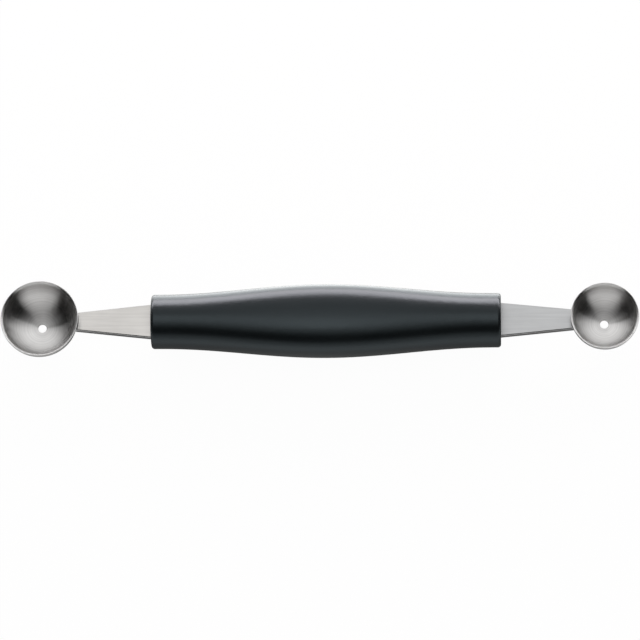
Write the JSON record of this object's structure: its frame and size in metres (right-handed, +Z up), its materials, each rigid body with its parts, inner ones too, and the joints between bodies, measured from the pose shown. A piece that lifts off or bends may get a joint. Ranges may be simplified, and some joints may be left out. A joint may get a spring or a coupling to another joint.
{
  "type": "melon baller",
  "caption": "Double-ended fruit scoop: hemispherical steel bowls, one larger than the other, on flat tapered shanks set in a swelling oval handle.",
  "frame": {"origin": "on the handle's long axis, midway along the tool's overall length and midway through the handle's thickness", "axes": "+X along the tool from the large bowl to the small bowl, +Y across its width, +Z up out of the bowls' open mouths"},
  "size_m": [0.2054, 0.025, 0.0184],
  "materials": {
    "bowl_steel": "turned bright inside, polished outside",
    "shank_steel": "satin, ground flat",
    "core_plastic": "as moulded, not seen",
    "handle_plastic": "black, moulded with a satin surface"
  },
  "bodies": {
    "root": {"large_bowl": "bowl_steel", "small_bowl": "bowl_steel", "large_shank": "shank_steel", "small_shank": "shank_steel", "handle_core": "core_plastic", "handle_skin": "handle_plastic"}
  },
  "joints": []
}
